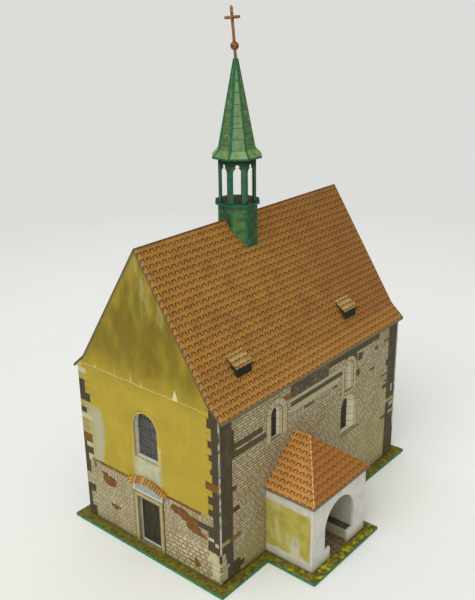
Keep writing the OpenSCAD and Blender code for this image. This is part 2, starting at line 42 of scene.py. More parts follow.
GABLE_LOW, GABLE_HIGH = span("west_gable_wall")
WEST_X = GABLE_LOW.x
EAST_X = -WEST_X
SIDE_Y = GABLE_HIGH.y
GROUND = GABLE_LOW.z
KINK_Y = -levels("nave_roof_south", 1)[1]
EAVE_Y = -span("nave_roof_south")[0].y
DRUM_LOW, DRUM_HIGH = span("turret_drum")
TURRET_X = (DRUM_LOW.x + DRUM_HIGH.x) / 2
PORCH_LOW, PORCH_HIGH = span("porch_front_wall")
PORCH_MIDDLE = (PORCH_LOW.x + PORCH_HIGH.x) / 2
# Slopes of the roofs, as in the part's source
MAIN_PITCH = math.radians(56.7)
EAVE_PITCH = math.radians(41.2)
PORCH_PITCH = math.radians(40.7)


# ---------------------------------------------------------------- node trees in plain arithmetic

def srgb(colour):
    """A colour as it is seen on screen, as the linear colour that a shader takes."""
    linear = [c / 12.92 if c <= 0.04045 else ((c + 0.055) / 1.055) ** 2.4 for c in colour]
    return (*linear, 1.0)


def plug(tree, place, value):
    """Links a socket to an input, or writes a constant into it."""
    if isinstance(value, Num):
        tree.links.new(value.socket, place)
    elif isinstance(value, bpy.types.NodeSocket):
        tree.links.new(value, place)
    else:
        place.default_value = value


class Num:
    """A number in a material's node tree. Arithmetic on it adds Math nodes."""

    def __init__(self, tree, socket):
        self.tree = tree
        self.socket = socket

    def math(self, operation, *others, clamp=False):
        node = self.tree.nodes.new("ShaderNodeMath")
        node.operation = operation
        node.use_clamp = clamp
        for place, value in zip(node.inputs, (self, *others)):
            plug(self.tree, place, value)
        return Num(self.tree, node.outputs[0])

    def __add__(self, other):
        return self.math("ADD", other)

    def __sub__(self, other):
        return self.math("SUBTRACT", other)

    def __mul__(self, other):
        return self.math("MULTIPLY", other)

    def __truediv__(self, other):
        return self.math("DIVIDE", other)

    def __rsub__(self, other):
        return self.math("MULTIPLY_ADD", -1.0, other)

    def __neg__(self):
        return self.math("MULTIPLY", -1.0)

    def __abs__(self):
        return self.math("ABSOLUTE")

    def least(self, other):
        return self.math("MINIMUM", other)

    def most(self, other):
        return self.math("MAXIMUM", other)

    def floor(self):
        return self.math("FLOOR")

    def fract(self):
        return self.math("FRACT")

    def root(self):
        return self.math("SQRT")

    def rise(self, low, high):
        """0 at low, 1 at high and straight between; low may be above high."""
        slope = 1.0 / (high - low)
        return self.math("MULTIPLY_ADD", slope, -low * slope, clamp=True)

    def above(self, edge, soft=0.1):
        return self.rise(edge - soft / 2, edge + soft / 2)

    def below(self, edge, soft=0.1):
        return self.rise(edge + soft / 2, edge - soft / 2)

    def close(self, middle, half, soft=0.1):
        """1 within half of a middle value."""
        return abs(self - middle).below(half, soft)

    def within(self, low, high):
        """1 between two values, with hard ends."""
        return self.math("COMPARE", (low + high) / 2, (high - low) / 2)

    def off(self):
        """1 becomes 0 and 0 becomes 1."""
        return self.math("MULTIPLY_ADD", -1.0, 1.0)

    def fold(self, period, phase=0.0):
        """Distance to the nearest of a row of lines."""
        return abs(((self - (phase - period / 2)) / period).fract() - 0.5) * period


def length_of(a, b):
    return (a * a + b * b).root()


class Paint:
    """One material: its place on the model in millimetres, the coats laid on it, and its surface."""

    def __init__(self, name, seed=0.0):
        self.material = bpy.data.materials.new(name)
        self.material.use_nodes = True
        self.tree = self.material.node_tree
        self.tree.nodes.clear()
        self.seed = seed
        coords = self.node("ShaderNodeTexCoord")
        scaled = self.node("ShaderNodeVectorMath", operation="SCALE")
        self.tree.links.new(coords.outputs["Object"], scaled.inputs[0])
        scaled.inputs["Scale"].default_value = MM
        self.place = scaled.outputs[0]
        self.x, self.y, self.z = self.split(self.place)
        self.face_x, self.face_y, self.face_z = self.split(coords.outputs["Normal"])
        self.colour = None
        self.height = self.noise(0.35, detail=3.0) * 0.012

    def node(self, kind, **settings):
        made = self.tree.nodes.new(kind)
        for name, value in settings.items():
            setattr(made, name, value)
        return made

    def split(self, socket):
        node = self.node("ShaderNodeSeparateXYZ")
        self.tree.links.new(socket, node.inputs[0])
        return [Num(self.tree, out) for out in node.outputs]

    def noise(self, size, detail=2.0, stretch=(1.0, 1.0, 1.0)):
        """Smooth noise about 0.5 whose features are size millimetres wide; every call differs."""
        self.seed += 13.7
        mapping = self.node("ShaderNodeMapping")
        self.tree.links.new(self.place, mapping.inputs["Vector"])
        mapping.inputs["Location"].default_value = (self.seed, self.seed * 0.7, -self.seed)
        mapping.inputs["Scale"].default_value = [1.0 / (size * s) for s in stretch]
        noise = self.node("ShaderNodeTexNoise")
        self.tree.links.new(mapping.outputs[0], noise.inputs["Vector"])
        noise.inputs["Scale"].default_value = 1.0
        noise.inputs["Detail"].default_value = detail
        return Num(self.tree, noise.outputs[0])

    def cells(self, where):
        """Random lengths along a line: each cell's random tone, and the distance to its ends."""
        tone = self.node("ShaderNodeTexVoronoi", voronoi_dimensions="1D")
        edge = self.node("ShaderNodeTexVoronoi", voronoi_dimensions="1D", feature="DISTANCE_TO_EDGE")
        for node in (tone, edge):
            node.inputs["Scale"].default_value = 1.0
            node.inputs["Randomness"].default_value = 0.8
            plug(self.tree, node.inputs["W"], where)
        return self.split(tone.outputs["Color"])[0], Num(self.tree, edge.outputs["Distance"])

    def chance(self, where):
        """A random number from 0 to 1 for each whole number."""
        node = self.node("ShaderNodeTexWhiteNoise", noise_dimensions="1D")
        plug(self.tree, node.inputs["W"], where)
        return Num(self.tree, node.outputs["Value"])

    def coat(self, colour, mask=None):
        """Lays a colour over what is there, as much as mask says."""
        if mask is None:
            self.colour = srgb(colour)
            return
        node = self.node("ShaderNodeMix", data_type="RGBA")
        plug(self.tree, node.inputs[0], mask)
        plug(self.tree, node.inputs[6], self.colour)
        plug(self.tree, node.inputs[7], srgb(colour))
        self.colour = node.outputs[2]

    def scale(self, amount):
        """Makes the colour lighter or darker by a factor."""
        node = self.node("ShaderNodeVectorMath", operation="SCALE")
        if isinstance(self.colour, tuple):
            node.inputs[0].default_value = self.colour[:3]
        else:
            self.tree.links.new(self.colour, node.inputs[0])
        plug(self.tree, node.inputs["Scale"], amount)
        self.colour = node.outputs[0]

    def mottle(self, size, depth, stretch=(1.0, 1.0, 1.0)):
        """Uneven ink: brightness that varies by up to depth either way."""
        self.scale(self.noise(size, stretch=stretch).rise(0.3, 0.7) * (2 * depth) + (1.0 - depth))

    def blocks(self, colour, across, up, stones, strength=1.0):
        """Coats rectangles, each given as left, right, low, high."""
        mask = None
        for left, right, low, high in stones:
            stone = across.within(left, right) * up.within(low, high)
            mask = stone if mask is None else mask.most(stone)
        self.coat(colour, mask * strength)

    def finish(self, rough=0.7, gloss=0.15, metal=0.0, rough_depth=0.12):
        """Adds the shader, with uneven roughness and the relief gathered so far."""
        self.mottle(0.5, 0.05)
        bump = self.node("ShaderNodeBump")
        bump.inputs["Distance"].default_value = 1.0 / MM
        plug(self.tree, bump.inputs["Height"], self.height)
        shader = self.node("ShaderNodeBsdfPrincipled")
        plug(self.tree, shader.inputs["Base Color"], self.colour)
        uneven = self.noise(2.5).rise(0.3, 0.7)
        plug(self.tree, shader.inputs["Roughness"], uneven * rough_depth + (rough - rough_depth / 2))
        shader.inputs["Metallic"].default_value = metal
        shader.inputs["Specular IOR Level"].default_value = gloss
        self.tree.links.new(bump.outputs[0], shader.inputs["Normal"])
        out = self.node("ShaderNodeOutputMaterial")
        self.tree.links.new(shader.outputs[0], out.inputs[0])
        return self.material


def dress(material, *nodes):
    """Gives a material to CAD nodes."""
    for name in nodes:
        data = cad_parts[name].data
        data.materials.clear()
        data.materials.append(material)


# ---------------------------------------------------------------- printed patterns

def masonry(paint, across, up, course, stone, joint=(0.50, 0.45, 0.33), width=0.17, mask=None):
    """Coursed rubble: uneven courses cut into stones of random length and tone."""
    level = (up + (paint.noise(6.0) - 0.5) * 0.7) / course
    row = level.floor()
    rough_across = across + (paint.noise(0.8) - 0.5) * 0.3
    tone, end = paint.cells(rough_across / stone + row * 7.37)
    seam = (abs(level.fract() - 0.5) * -course + course / 2).least(end * stone)
    line = seam.below(width, width * 0.8) * paint.noise(1.6).rise(0.1, 0.4)
    if mask is not None:
        line = line * mask
        tone = (tone - 0.5) * mask + 0.5
    paint.scale(tone * 0.36 + 0.82)
    paint.coat(joint, line * 0.95)
    paint.height = paint.height - line * 0.01


def tile_print(paint, across, up, column, row, line=(0.30, 0.17, 0.07), reach=0.72):
    """Plain tiles in rows: a dark cap over each tile, short sides, and a faint dip between caps."""
    wide = across.fold(column)
    down = (up / row).fract() * -row + row
    side = reach * 1.35
    cap = (length_of(wide, down - reach) - reach).close(0.0, 0.26, 0.16) * down.below(reach, 0.05)
    leg = wide.close(reach, 0.19, 0.16) * down.above(reach, 0.05) * down.below(side + 0.15, 0.3)
    hollow = column / 2 - reach
    dip_line = length_of(wide - column / 2, (down - side) * 3.5) - hollow
    dip = abs(dip_line).below(0.24, 0.2) * down.above(side, 0.05)
    under = wide.below(reach * 0.75, 0.3) * down.close(reach * 1.3, 0.45, 0.5)
    uneven = paint.noise(1.9).rise(0.25, 0.6)
    paint.coat((0.66, 0.46, 0.22), under * 0.3)
    paint.coat(line, cap.most(leg * 0.95).most(dip * 0.85) * (uneven * 0.3 + 0.7))
    paint.height = paint.height - cap.most(leg) * 0.012


def join(paint, mask, under, over):
    """Puts one finished colour over another where the mask is 1."""
    joined = paint.node("ShaderNodeMix", data_type="RGBA")
    plug(paint.tree, joined.inputs[0], mask)
    plug(paint.tree, joined.inputs[6], under)
    plug(paint.tree, joined.inputs[7], over)
    paint.colour = joined.outputs[2]


def foot_shade_and_tint(paint, strength=0.6):
    """Painted shade: a dark line where a wall stands on the card, and a softer green cast above it."""
    paint.coat((0.20, 0.17, 0.08), paint.z.below(GROUND + 0.5, 0.7) * strength)
    paint.coat((0.42, 0.40, 0.18), paint.z.below(GROUND + 1.6, 2.4) * (strength * 0.4))


def turret_place(paint):
    """Distance from the nearest octagon corner, and which of the two sets of sides a point is on."""
    off_x = paint.x - TURRET_X
    angle = paint.y.math("ARCTAN2", off_x)
    eighth = math.pi / 4
    side = (angle / eighth + 0.5).floor()
    local = angle - side * eighth
    radius = length_of(off_x, paint.y)
    face = radius * local.math("COSINE")
    corner = face * math.tan(eighth / 2) - abs(radius * local.math("SINE"))
    odd = (side / 2.0).fract() * 2.0
    return corner, odd


# ---------------------------------------------------------------- materials of the walls

PALE = (0.74, 0.70, 0.56)
OCHRE = (0.62, 0.56, 0.34)
DARK = (0.28, 0.25, 0.18)
BRICK = (0.47, 0.31, 0.14)
STONE = (0.73, 0.69, 0.56)
JOINT = (0.48, 0.43, 0.31)
YELLOW = (0.68, 0.595, 0.205)
OLIVE = (0.50, 0.44, 0.125)
GREY = (0.66, 0.66, 0.55)
# Height of the lower edge of the plaster, and of the crack across the gable
PLASTER_Z = 24.3
CRACK_Z = 58.7

# Stones at the two corners of the west gable: left, right, low, high. Left is north.
# Their places were read in millimetres on the model.
NORTH_DARK = (
    (-32, -27.2, 48.2, 52.8), (-32, -25.0, 45.2, 48.2), (-32, -27.2, 40.6, 42.6),
    (-32, -28.6, 28.0, 33.2), (-32, -25.5, 25.5, 28.0), (-32, -28.2, 22.7, 25.5),
    (-32, -27.6, 18.0, 22.7), (-32, -26.0, 10.6, 13.6), (-32, -28.3, 5.0, 10.6),
    (-32, -26.2, 1.0, 5.0),
)
NORTH_OCHRE = ((-32, -27.3, 52.8, 55.0), (-32, -28.0, 42.6, 45.2), (-32, -26.6, 33.2, 38.6))
NORTH_PALE = (
    (-32, -28.3, 57.2, 60.0), (-32, -26.3, 55.0, 57.0), (-32, -25.0, 38.6, 40.6),
    (-28.5, -26.2, 28.2, 29.7), (-28.1, -26.4, 22.9, 25.3),
)
NORTH_BRICK = ((-29.4, -25.6, 29.8, 33.1), (-25.6, -24.6, 21.0, 23.2))
SOUTH_DARK = (
    (27.4, 32, 12, 60), (26.6, 32, 57.2, 60), (25.8, 32, 54.2, 57.2), (26.0, 32, 47.9, 50.2),
    (26.3, 32, 43.6, 45.7), (26.7, 32, 39.0, 41.0), (25.7, 32, 28.7, 31.5), (25.6, 32, 24.7, 27.0),
    (25.4, 32, 16.9, 21.0), (21.2, 32, 18.7, 20.8), (25.2, 32, 12.0, 15.6), (28.4, 32, 9, 12),
)
SOUTH_PALE = (
    (28.0, 29.4, 14.5, 15.8), (25.3, 27.6, 15.9, 16.6), (25.4, 29.5, 9.7, 11.6),
    (24.8, 26.3, 7.8, 9.6), (26.5, 29.5, 7.6, 9.6), (26.6, 29.5, 2.2, 7.4),
)
SOUTH_BRICK = ((24.7, 32, 33.6, 36.4),)
# Places where the plaster or the facing is gone and brick shows, as a round or square patch each:
# middle across, middle height, half width, half height
WEST_BRICK = (
    (13.6, 20.7, 3.8, 1.5), (17.6, 19.6, 4.0, 1.5), (19.5, 17.2, 3.0, 1.6), (22.5, 16.1, 2.6, 0.7),
    (-18.4, 18.3, 3.3, 1.9), (-20.2, 20.4, 1.6, 0.6), (-16.0, 9.3, 2.2, 0.7), (-16.0, 8.6, 1.2, 0.8),
    (20.2, 4.9, 1.2, 1.6), (19.8, 4.6, 2.9, 0.4),
)


def patches(paint, across, up, places, rag=0.5):
    """One mask for a group of ragged patches with squarish outlines."""
    mask = None
    left = across + (paint.noise(1.1) - 0.5) * (2.4 * rag)
    rise = up + (paint.noise(0.9) - 0.5) * (1.6 * rag)
    for middle, height, half_wide, half_high in places:
        wide = abs(left - middle) / half_wide
        high = abs(rise - height) / half_high
        near = (wide.math("POWER", 3.0) + high.math("POWER", 3.0)).below(1.0, 0.15)
        mask = near if mask is None else mask.most(near)
    return mask


def plaster(paint, across, up):
    """Yellow plaster that turns olive and streaky in the gable's triangle."""
    paint.coat(YELLOW)
    paint.coat((0.64, 0.56, 0.19), paint.noise(9.0).rise(0.35, 0.7))
    paint.coat((0.72, 0.62, 0.22), paint.noise(5.0).rise(0.5, 0.8) * 0.7)
    top = up.rise(CRACK_Z - 4.0, CRACK_Z + 8.0)
    streaks = paint.noise(7.0, stretch=(1.0, 0.7, 1.6))
    paint.coat(OLIVE, top * (streaks.rise(0.2, 0.6) * 0.5 + 0.5))
    deep = up.rise(CRACK_Z + 2.0, CRACK_Z + 22.0) * streaks.rise(0.35, 0.62)
    paint.coat((0.43, 0.37, 0.10), deep * 0.8)
    smudge = (across - 4.0).close(0.0, 4.0, 5.0) * up.close(70.0, 8.0, 8.0)
    paint.coat((0.47, 0.38, 0.09), smudge * paint.noise(3.5).rise(0.35, 0.6) * 0.7)
    crown = up.rise(CRACK_Z + 14.0, CRACK_Z + 32.0)
    pale = paint.noise(3.4, stretch=(1.0, 0.7, 1.9)).rise(0.45, 0.68)
    paint.coat((0.66, 0.63, 0.38), pale * crown * (across - 2.0).close(0.0, 3.0, 6.0) * 0.9)
    paint.coat((0.66, 0.63, 0.36), pale * (across - 9.0).close(0.0, 1.5, 3.0) * up.close(84.0, 3.0, 5.0))


def crack(paint, across, up):
    """A thin pale crack across the gable, with small chips above it."""
    wander = (paint.noise(3.0, detail=3.0) - 0.5) * 1.2
    level = up - (across * -0.008 + CRACK_Z) - wander
    line = abs(level).below(0.12, 0.18) * abs(across).below(26.5, 1.0)
    paint.coat((0.80, 0.76, 0.50), line * 0.8)
    paint.coat((0.56, 0.49, 0.17), (level + 0.28).close(0.0, 0.1, 0.2) * abs(across).below(26.5, 1.0) * 0.4)
    chips = ((13.7, 4.0, 1.3, 0.95), (-5.0, 5.0, 0.5, 0.45), (-0.6, 2.2, 0.4, 0.6),
             (-12.3, 6.0, 0.35, 0.3), (-21.3, 1.8, 0.5, 0.5))
    for middle, tall, half, strength in chips:
        shrink = level.rise(tall, 0.0) * half
        chip = (shrink - abs(across - middle)).rise(0.0, 0.2) * level.above(0.0, 0.2)
        paint.coat((0.82, 0.80, 0.62), chip * strength)


def gable(name, seed, west):
    """West or east gable: plaster above a stone foot, quoins of mixed stones at both corners."""
    paint = Paint(name, seed)
    across = -paint.y if west else paint.y
    up = paint.z
    plaster(paint, across, up)
    crack(paint, across, up)
    worn_edge = across + (paint.noise(5.0) - 0.5) * 3.0 + abs(up - 33.0) * 0.12
    worn = worn_edge.below(-19.3, 1.6) * up.below(44.0, 3.0)
    paint.coat(GREY, worn * 0.85)
    paint.coat((0.62, 0.62, 0.38), worn * worn_edge.below(-24.0, 3.0) * 0.7)
    window(paint, across, up)
    # Stone foot
    wavy = (paint.noise(2.2) - 0.5) * 0.8
    foot = (up + wavy).below(PLASTER_Z, 0.15)
    plaster_colour = paint.colour
    paint.coat(STONE)
    paint.coat((0.66, 0.60, 0.43), paint.noise(8.0).rise(0.4, 0.65) * 0.8)
    paint.coat((0.77, 0.74, 0.63), paint.noise(4.0).rise(0.5, 0.75) * 0.7)
    large = across.above(7.0, 0.2) * up.below(11.8, 0.2)
    masonry(paint, across, up, 0.9, 1.6, JOINT, width=0.2, mask=large.off())
    masonry(paint, across, up, 1.5, 2.2, JOINT, width=0.26, mask=large)
    edge_band = up.above(PLASTER_Z - 1.2, 0.3) * abs(across).within(8.2, 22.5)
    paint.coat((0.45, 0.33, 0.15), edge_band * (paint.noise(2.6).rise(0.25, 0.4)))
    paint.coat((0.38, 0.30, 0.15), up.above(PLASTER_Z - 1.0, 0.3) * across.within(-26.5, -20.0) * 0.7)
    bare = patches(paint, across, up, WEST_BRICK, 0.8)
    paint.coat(BRICK, bare)
    paint.coat((0.36, 0.24, 0.11), bare * paint.noise(1.0).rise(0.45, 0.65) * 0.8)
    join(paint, foot, plaster_colour, paint.colour)
    # Quoins
    rag_across = across + (paint.noise(0.7) - 0.5) * 0.35
    rag_up = up + (paint.noise(0.9) - 0.5) * 0.3
    paint.blocks(OCHRE, rag_across, rag_up, NORTH_OCHRE)
    paint.blocks(PALE, rag_across, rag_up, NORTH_PALE + SOUTH_PALE, 0.9)
    paint.blocks(DARK, rag_across, rag_up, NORTH_DARK + SOUTH_DARK)
    paint.blocks(PALE, rag_across, rag_up, SOUTH_PALE, 0.9)
    paint.blocks(BRICK, rag_across, rag_up, NORTH_BRICK + SOUTH_BRICK)
    corner = SIDE_Y - abs(across)
    course_lines = up.fold(2.45, 1.0).below(0.1, 0.12) * corner.below(5.0, 0.3)
    paint.coat((0.24, 0.21, 0.16), course_lines * 0.5)
    fold = corner.below(0.05, 0.1) * up.above(12.0, 1.0)
    paint.coat((0.72, 0.70, 0.64), fold * paint.noise(2.0).rise(0.3, 0.55))
    if not west:
        paint.scale(0.97)
    foot_shade_and_tint(paint)
    return paint.finish()


def window(paint, across, up):
    """Worn pale plaster round the gable's window and beneath it."""
    low, high = span("west_window_reveal")
    half = high.y
    sill = low.z
    spring = high.z - half
    out = length_of(across, (up - spring).most(0.0)) - half
    jambs = up.above(sill - 0.4, 0.3)
    rim = (out + (paint.noise(1.4) - 0.5) * 0.6).below(0.3, 0.3) * jambs
    paint.coat((0.76, 0.73, 0.50), rim * 0.3)
    shade = out.close(0.35, 0.12, 0.2) * across.below(1.0, 3.0) * up.above(spring, 1.0)
    paint.coat((0.30, 0.27, 0.12), shade * 0.7)
    edge = abs(across - 0.3) + (paint.noise(3.0) - 0.5) * 3.0
    below = edge.below(5.9, 2.4) * up.close(29.5, 4.0, 2.4)
    paint.coat(GREY, below * 0.9)
    paint.coat((0.76, 0.74, 0.60), below * paint.noise(2.4).rise(0.4, 0.6) * 0.6)
    side = (across - 6.0 + (paint.noise(2.0) - 0.5) * 1.5).close(0.0, 0.5, 0.5) * up.close(37.0, 3.0, 2.0)
    paint.coat((0.76, 0.73, 0.52), side * 0.7)


# South face: left, right, low, high in the row frame's X and Z
SOUTH_FACE_DARK = (
    (-50.2, -44.2, 1.0, 58.0), (-44.2, -43.2, 43.0, 52.0), (-44.2, -42.4, 31.4, 33.2),
    (-44.2, -41.1, 23.9, 25.7), (-44.2, -41.0, 1.0, 6.6), (-41.0, -39.2, 3.0, 5.0),
    (43.8, 50.2, 1.0, 58.0), (42.4, 44.0, 39.9, 42.4), (41.8, 44.0, 33.6, 34.4),
    (40.7, 44.0, 31.2, 32.6), (39.2, 44.0, 36.5, 37.2), (40.5, 44.0, 18.4, 19.5),
)
SOUTH_FACE_BANDS = (
    (-44.2, -29.8, 45.2, 47.3), (-44.2, -28.1, 42.4, 44.7), (-15.8, 14.0, 47.5, 49.2),
    (12.4, 22.8, 39.8, 40.7), (13.0, 25.0, 23.1, 23.8), (23.0, 26.0, 49.2, 51.9),
    (21.0, 24.5, 43.5, 46.0), (34.2, 36.2, 49.3, 50.5), (31.3, 34.5, 42.2, 43.2),
    (33.6, 34.9, 40.6, 41.2), (-8.5, -3.3, 44.0, 44.8), (8.0, 10.7, 44.3, 45.0),
    (-16.0, 5.0, 50.4, 58.0), (5.0, 37.0, 53.1, 58.0), (15.0, 22.5, 49.5, 58.0),
)
SOUTH_FACE_PALE = (
    (-42.0, -37.4, 44.6, 45.2), (-35.1, -28.6, 44.6, 45.2), (-16.0, 14.0, 49.2, 50.4),
    (-16.0, 11.5, 45.5, 47.4), (-49.6, -47.9, 9.6, 11.6), (-49.6, -47.4, 7.2, 9.4),
    (-49.6, -46.1, 6.0, 7.0), (-49.6, -47.0, 2.0, 5.8), (46.8, 48.0, 28.0, 31.0),
    (46.4, 50.2, 21.9, 23.5), (46.0, 50.2, 18.9, 20.0),
)
SOUTH_FACE_BRICK = ((-46.0, -40.4, 14.2, 15.8), (-20.4, -15.6, 50.6, 52.8), (40.2, 44.0, 50.0, 51.4))
SOUTH_FACE_OCHRE = ((-49.6, -46.0, 14.4, 15.9), (43.8, 50.2, 24.0, 25.6))
# Openings in the long walls: half width, sill, spring of the arch
SLIT_OPENING = (2.8, 40.0, 48.4)
LOW_OPENING = (5.15, 23.9, 33.5)
# Window rims: the reveal that a rim goes round, and the width of the rim
SOUTH_RIMS = (
    ("south_west_slit_reveal", 2.3),
    ("south_east_slit_reveal", 1.6),
    ("south_low_window_reveal", 0.7),
)
NORTH_RIMS = (("north_west_slit_reveal", 2.3), ("north_east_slit_reveal", 1.6))


def window_rim(paint, node, wide, opening):
    """Dressed stones round a window, cut by joints."""
    low, high = span(node)
    middle = (low.x + high.x) / 2
    half, sill, spring = opening
    across = paint.x - middle
    rise = (paint.z - spring).most(0.0)
    out = length_of(across, rise) - half
    ring = out.below(wide, 0.12) * paint.z.above(sill - 0.3, 0.12)
    paint.coat((0.67, 0.63, 0.49), ring)
    paint.coat((0.72, 0.69, 0.56), ring * paint.noise(1.8).rise(0.45, 0.6) * 0.7)
    angle = rise.math("ARCTAN2", abs(across))
    joints = paint.z.fold(2.6, sill).below(0.09, 0.1) * rise.below(0.01, 0.01)
    radial = angle.fold(0.5, 0.25).below(0.04, 0.03) * rise.above(0.01, 0.01)
    paint.coat((0.42, 0.38, 0.26), joints.most(radial) * ring * 0.8)
    paint.coat((0.24, 0.20, 0.13), out.close(0.05, 0.12, 0.12) * paint.z.above(sill - 0.3, 0.1) * 0.85)
    paint.coat((0.36, 0.32, 0.22), (out - wide).close(0.0, 0.1, 0.12) * paint.z.above(sill - 0.3, 0.1) * 0.7)


def long_wall(name, seed, south):
    """South or north wall: coursed stone between dark quoins, with bands and dressed windows."""
    paint = Paint(name, seed)
    across = paint.x
    up = paint.z
    paint.coat((0.70, 0.66, 0.54))
    paint.coat((0.66, 0.60, 0.43), paint.noise(9.0).rise(0.4, 0.65) * 0.8)
    paint.coat((0.72, 0.70, 0.58), paint.noise(4.5).rise(0.5, 0.75) * 0.7)
    masonry(paint, across, up, 1.0, 2.2, (0.44, 0.39, 0.27), width=0.19)
    if south:
        shade = (across - PORCH_MIDDLE).close(-11.0, 4.0, 12.0) * up.close(33.0, 4.0, 10.0)
        paint.coat((0.44, 0.30, 0.18), shade * paint.noise(2.0).rise(0.3, 0.7) * 0.55)
        paint.coat((0.60, 0.58, 0.30), (across - 45.0).rise(-40.0, 0.0) * up.below(22.0, 10.0) * 0.35)
        paint.coat((0.60, 0.57, 0.30), across.close(-34.0, 5.0, 6.0) * up.below(12.0, 12.0) * 0.4)
    rag_across = across + (paint.noise(0.8) - 0.5) * 0.5
    rag_up = up + (paint.noise(1.0) - 0.5) * 0.35
    bands = SOUTH_FACE_BANDS if south else SOUTH_FACE_BANDS[:2]
    paint.blocks((0.29, 0.26, 0.18), rag_across, rag_up, bands, 0.94)
    if south:
        mottled = rag_across.within(-16.0, 5.5) * rag_up.within(50.4, 58.0)
        paint.coat((0.46, 0.43, 0.36), mottled * paint.noise(1.1).rise(0.5, 0.62) * 0.8)
    paint.blocks(DARK, rag_across, rag_up, SOUTH_FACE_DARK)
    paint.coat((0.38, 0.34, 0.27), abs(across).above(44.0, 0.3) * paint.noise(2.4).rise(0.45, 0.7) * 0.5)
    paint.blocks((0.68, 0.64, 0.52), rag_across, rag_up, SOUTH_FACE_PALE, 0.85)
    paint.blocks(BRICK, rag_across, rag_up, SOUTH_FACE_BRICK, 0.85)
    paint.blocks(OCHRE, rag_across, rag_up, SOUTH_FACE_OCHRE, 0.8)
    if south:
        openings = {
            "south_west_slit_reveal": SLIT_OPENING,
            "south_east_slit_reveal": SLIT_OPENING,
            "south_low_window_reveal": LOW_OPENING,
        }
        for node, wide in SOUTH_RIMS:
            window_rim(paint, node, wide, openings[node])
    else:
        for node, wide in NORTH_RIMS:
            window_rim(paint, node, wide, SLIT_OPENING)
    # Painted shadow under the eaves: a dark band along the top of the wall.
    paint.coat((0.14, 0.12, 0.07), up.above(57.2, 1.0) * 0.8)
    foot_shade_and_tint(paint)
    return paint.finish()


# ---------------------------------------------------------------- roofs

# Nave roof print: where a column starts, how far the first row lies from the kink, and the pitches
NAVE_TILE_START = 46.85
NAVE_TILE_DROP = 0.13
NAVE_TILE_COLUMN = 2.531
NAVE_TILE_ROW = 2.122
# Porch roof print: the first row above the eave, and the pitches
PORCH_TILE_DROP = 0.4
PORCH_TILE_COLUMN = 2.48
PORCH_TILE_ROW = 2.16

def roof(name, seed):
    """Tiled nave roof: the print runs on over the change of slope."""
    paint = Paint(name, seed)
    inward = -(abs(paint.y) - KINK_Y)
    slope = inward.most(0.0) / math.cos(MAIN_PITCH) + inward.least(0.0) / math.cos(EAVE_PITCH)
    paint.coat((0.63, 0.45, 0.20))
    paint.coat((0.54, 0.37, 0.17), paint.noise(6.5).rise(0.42, 0.62) * 0.6)
    paint.coat((0.68, 0.49, 0.18), paint.noise(5.0).rise(0.48, 0.66) * 0.7)
    paint.coat((0.52, 0.33, 0.14), paint.x.rise(-15.0, 35.0) * 0.6)
    paint.coat((0.68, 0.49, 0.23), inward.below(-0.4, 0.3) * 0.45)
    paint.coat((0.72, 0.56, 0.36), paint.x.below(WEST_X + 1.0, 0.9) * 0.5)
    tile_print(paint, paint.x + NAVE_TILE_START, slope - NAVE_TILE_DROP, NAVE_TILE_COLUMN, NAVE_TILE_ROW)
    edge = (abs(paint.y) - EAVE_Y).above(-0.12, 0.1)
    paint.coat((0.45, 0.40, 0.29), edge)
    paint.coat((0.30, 0.20, 0.12), abs(paint.y).below(0.35, 0.3) * 0.7)
    verge = abs(paint.face_x).above(0.5, 0.1)
    paint.coat((0.36, 0.30, 0.18), verge)
    under = paint.face_z.below(-0.1, 0.1)
    paint.coat((0.70, 0.68, 0.60), under * 0.8)
    return paint.finish(rough=0.66)



def porch_roof(name, seed):
    """Hipped porch roof with larger and more orange tiles."""
    paint = Paint(name, seed)
    over = paint.face_y.below(-0.4, 0.1) * abs(paint.face_x).below(0.3, 0.1)
    cos_pitch = math.cos(PORCH_PITCH)
    from_eave_side = (abs(paint.x - PORCH_MIDDLE) * -1.0 + (PORCH_HIGH.x - PORCH_MIDDLE + 0.96)) / cos_pitch
    low, high = span("porch_roof")
    from_eave_front = (paint.y - low.y) / math.cos(math.radians(45.0))
    slope = from_eave_front * over + from_eave_side * over.off()
    across = paint.x * over + paint.y * over.off()
    paint.coat((0.74, 0.53, 0.27))
    paint.coat((0.78, 0.56, 0.32), paint.noise(2.6).rise(0.5, 0.7))
    paint.coat((0.68, 0.47, 0.22), paint.noise(4.0).rise(0.45, 0.65) * 0.7)
    # Painted shade: the front slope, turned away from the light, is darker than the side slopes.
    paint.coat((0.58, 0.37, 0.16), over * 0.85)
    tile_print(paint, across, slope - PORCH_TILE_DROP, PORCH_TILE_COLUMN, PORCH_TILE_ROW,
               line=(0.40, 0.23, 0.08))
    rise_side = (paint.x - low.x) / 1.0
    hip = abs((paint.y - low.y) * ((high.x - low.x) / 2 / (high.y - low.y - 5.9)) - rise_side)
    ends = paint.z.above(low.z + 1.2, 0.2)
    paint.coat((0.40, 0.24, 0.10), hip.close(0.5, 0.12, 0.12) * ends * 0.8)
    paint.coat((0.84, 0.68, 0.46), hip.below(0.4, 0.12) * ends * paint.z.fold(1.0).above(0.12, 0.15) * 0.85)
    edge = abs(paint.face_z).below(0.3, 0.1)
    paint.coat((0.44, 0.40, 0.31), edge)
    paint.coat((0.62, 0.60, 0.52), paint.face_z.below(-0.3, 0.1))
    return paint.finish(rough=0.66)


